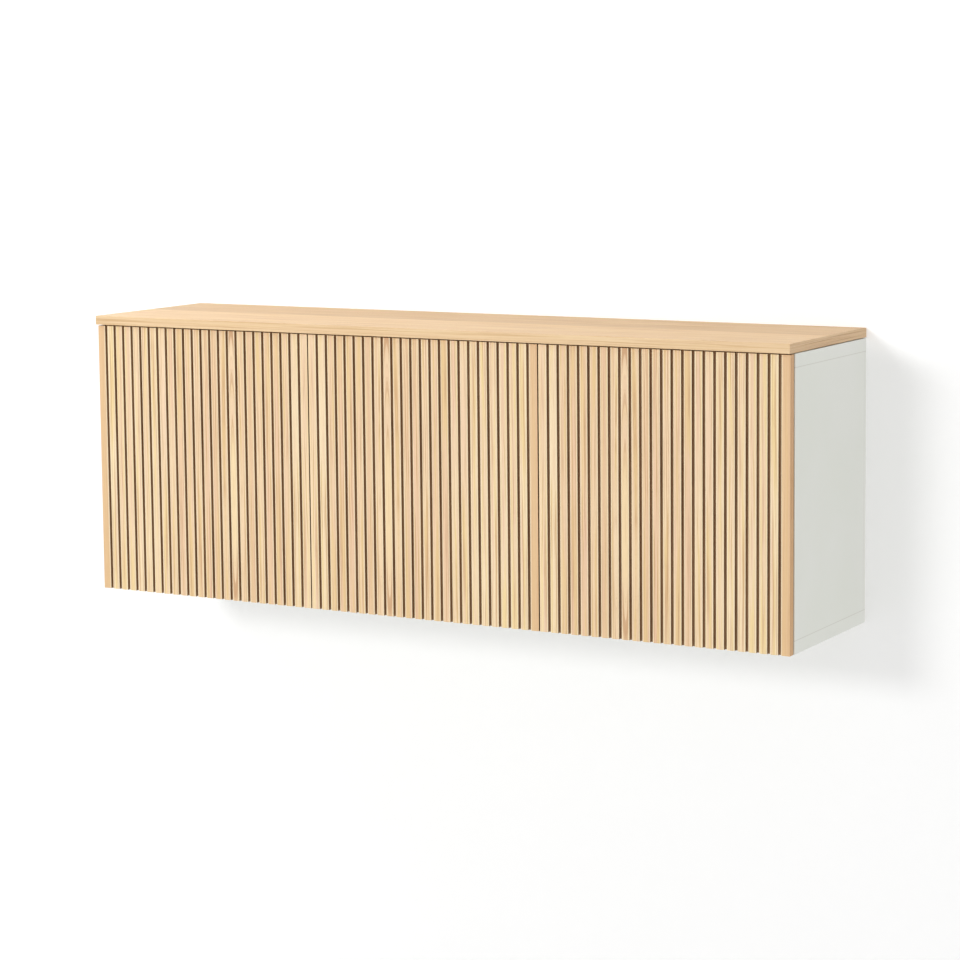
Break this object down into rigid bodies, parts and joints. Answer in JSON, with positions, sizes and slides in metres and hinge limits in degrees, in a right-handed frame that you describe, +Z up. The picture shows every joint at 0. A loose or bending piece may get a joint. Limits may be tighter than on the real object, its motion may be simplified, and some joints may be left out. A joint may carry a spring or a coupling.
{
  "type": "floating media console",
  "caption": "Long wall-hung media console with slatted pale wood doors on concealed hinges, push latches, inner shelves and a long top panel.",
  "frame": {"origin": "on the wall plane, midway between the middle case's two wall holes", "axes": "+X along the width, to the right as seen from the front; +Y into the wall; +Z up"},
  "size_m": [1.8, 0.4275, 0.661],
  "materials": {
    "birch_slats": "clear matt lacquer over pale birch veneer",
    "birch_panel": "clear matt lacquer over pale birch veneer",
    "birch_top": "clear matt lacquer over pale birch veneer",
    "white_foil_board": "white foil on particle board",
    "beech": "unfinished turned beech",
    "die_cast_zinc": "die-cast zinc",
    "zinc_plated_steel": "bright zinc plating",
    "nickel_plated_steel": "satin nickel plating",
    "white_plastic": "moulded plastic",
    "grey_plastic": "moulded plastic"
  },
  "bodies": {
    "case": {"back_panel_screws": "zinc_plated_steel", "cam_bolts": "zinc_plated_steel", "cam_locks": "die_cast_zinc", "connector_bolts": "zinc_plated_steel", "connector_sleeves": "zinc_plated_steel", "dowels": "beech", "hinge_arms": "nickel_plated_steel", "hinge_plate_screws": "zinc_plated_steel", "hinge_plates": "nickel_plated_steel", "latch_housings": "white_plastic", "left_back_panel": "white_foil_board", "left_bottom_board": "white_foil_board", "left_case_left_side": "white_foil_board", "left_case_right_side": "white_foil_board", "left_hanging_rail": "white_foil_board", "left_shelf": "white_foil_board", "left_top_board": "white_foil_board", "middle_back_panel": "white_foil_board", "middle_bottom_board": "white_foil_board", "middle_case_left_side": "white_foil_board", "middle_case_right_side": "white_foil_board", "middle_hanging_rail": "white_foil_board", "middle_shelf": "white_foil_board", "middle_top_board": "white_foil_board", "right_back_panel": "white_foil_board", "right_bottom_board": "white_foil_board", "right_case_left_side": "white_foil_board", "right_case_right_side": "white_foil_board", "right_hanging_rail": "white_foil_board", "right_shelf": "white_foil_board", "right_top_board": "white_foil_board", "shelf_pins": "zinc_plated_steel", "spacer_pads": "grey_plastic", "top_panel": "birch_top", "top_panel_screws": "zinc_plated_steel"},
    "left_door": {"left_door_panel": "birch_panel", "left_door_slats": "birch_slats", "left_hinge_cups": "nickel_plated_steel", "left_cup_screws": "zinc_plated_steel", "left_strike_plate": "nickel_plated_steel"},
    "left_outer_link": {"left_outer_links": "nickel_plated_steel"},
    "left_inner_link": {"left_inner_links": "nickel_plated_steel"},
    "left_plunger": {"left_latch_plunger": "grey_plastic"},
    "middle_door": {"middle_door_panel": "birch_panel", "middle_door_slats": "birch_slats", "middle_hinge_cups": "nickel_plated_steel", "middle_cup_screws": "zinc_plated_steel", "middle_strike_plate": "nickel_plated_steel"},
    "middle_outer_link": {"middle_outer_links": "nickel_plated_steel"},
    "middle_inner_link": {"middle_inner_links": "nickel_plated_steel"},
    "middle_plunger": {"middle_latch_plunger": "grey_plastic"},
    "right_door": {"right_door_panel": "birch_panel", "right_door_slats": "birch_slats", "right_hinge_cups": "nickel_plated_steel", "right_cup_screws": "zinc_plated_steel", "right_strike_plate": "nickel_plated_steel"},
    "right_outer_link": {"right_outer_links": "nickel_plated_steel"},
    "right_inner_link": {"right_inner_links": "nickel_plated_steel"},
    "right_plunger": {"right_latch_plunger": "grey_plastic"}
  },
  "joints": [
    {"name": "left_outer_link_turn", "type": "hinge", "parent": "case", "child": "left_outer_link", "pos_m": [-0.871, -0.386, -0.2505], "axis": [0, 0, -1], "range_deg": [-31.51, 0]},
    {"name": "left_door_swing", "type": "hinge", "parent": "left_outer_link", "child": "left_door", "pos_m": [-0.8888, -0.4052, -0.2505], "axis": [0, 0, -1], "range_deg": [0, 121.5]},
    {"name": "left_inner_link_turn", "type": "hinge", "parent": "case", "child": "left_inner_link", "pos_m": [-0.864, -0.4012, -0.2505], "axis": [0, 0, -1], "range_deg": [-41.41, 0]},
    {"name": "left_plunger_slide", "type": "slide", "parent": "case", "child": "left_plunger", "axis": [0, -1, 0], "range_m": [0, 0.03001]},
    {"name": "middle_outer_link_turn", "type": "hinge", "parent": "case", "child": "middle_outer_link", "pos_m": [-0.271, -0.386, -0.2505], "axis": [0, 0, -1], "range_deg": [-31.51, 0]},
    {"name": "middle_door_swing", "type": "hinge", "parent": "middle_outer_link", "child": "middle_door", "pos_m": [-0.2888, -0.4052, -0.2505], "axis": [0, 0, -1], "range_deg": [0, 121.5]},
    {"name": "middle_inner_link_turn", "type": "hinge", "parent": "case", "child": "middle_inner_link", "pos_m": [-0.264, -0.4012, -0.2505], "axis": [0, 0, -1], "range_deg": [-41.41, 0]},
    {"name": "middle_plunger_slide", "type": "slide", "parent": "case", "child": "middle_plunger", "axis": [0, -1, 0], "range_m": [0, 0.03001]},
    {"name": "right_outer_link_turn", "type": "hinge", "parent": "case", "child": "right_outer_link", "pos_m": [0.871, -0.386, -0.2505], "axis": [0, 0, 1], "range_deg": [-31.51, 0]},
    {"name": "right_door_swing", "type": "hinge", "parent": "right_outer_link", "child": "right_door", "pos_m": [0.8888, -0.4052, -0.2505], "axis": [0, 0, 1], "range_deg": [0, 121.5]},
    {"name": "right_inner_link_turn", "type": "hinge", "parent": "case", "child": "right_inner_link", "pos_m": [0.864, -0.4012, -0.2505], "axis": [0, 0, 1], "range_deg": [-41.41, 0]},
    {"name": "right_plunger_slide", "type": "slide", "parent": "case", "child": "right_plunger", "axis": [0, -1, 0], "range_m": [0, 0.03001]}
  ],
  "couplings": [
    {"joint": "left_outer_link_turn", "follows": "left_door_swing", "ratio": -0.25926},
    {"joint": "left_inner_link_turn", "follows": "left_door_swing", "ratio": -0.34074},
    {"joint": "left_plunger_slide", "follows": "left_door_swing", "m_per_rad": 0.014147},
    {"joint": "middle_outer_link_turn", "follows": "middle_door_swing", "ratio": -0.25926},
    {"joint": "middle_inner_link_turn", "follows": "middle_door_swing", "ratio": -0.34074},
    {"joint": "middle_plunger_slide", "follows": "middle_door_swing", "m_per_rad": 0.014147},
    {"joint": "right_outer_link_turn", "follows": "right_door_swing", "ratio": -0.25926},
    {"joint": "right_inner_link_turn", "follows": "right_door_swing", "ratio": -0.34074},
    {"joint": "right_plunger_slide", "follows": "right_door_swing", "m_per_rad": 0.014147}
  ]
}
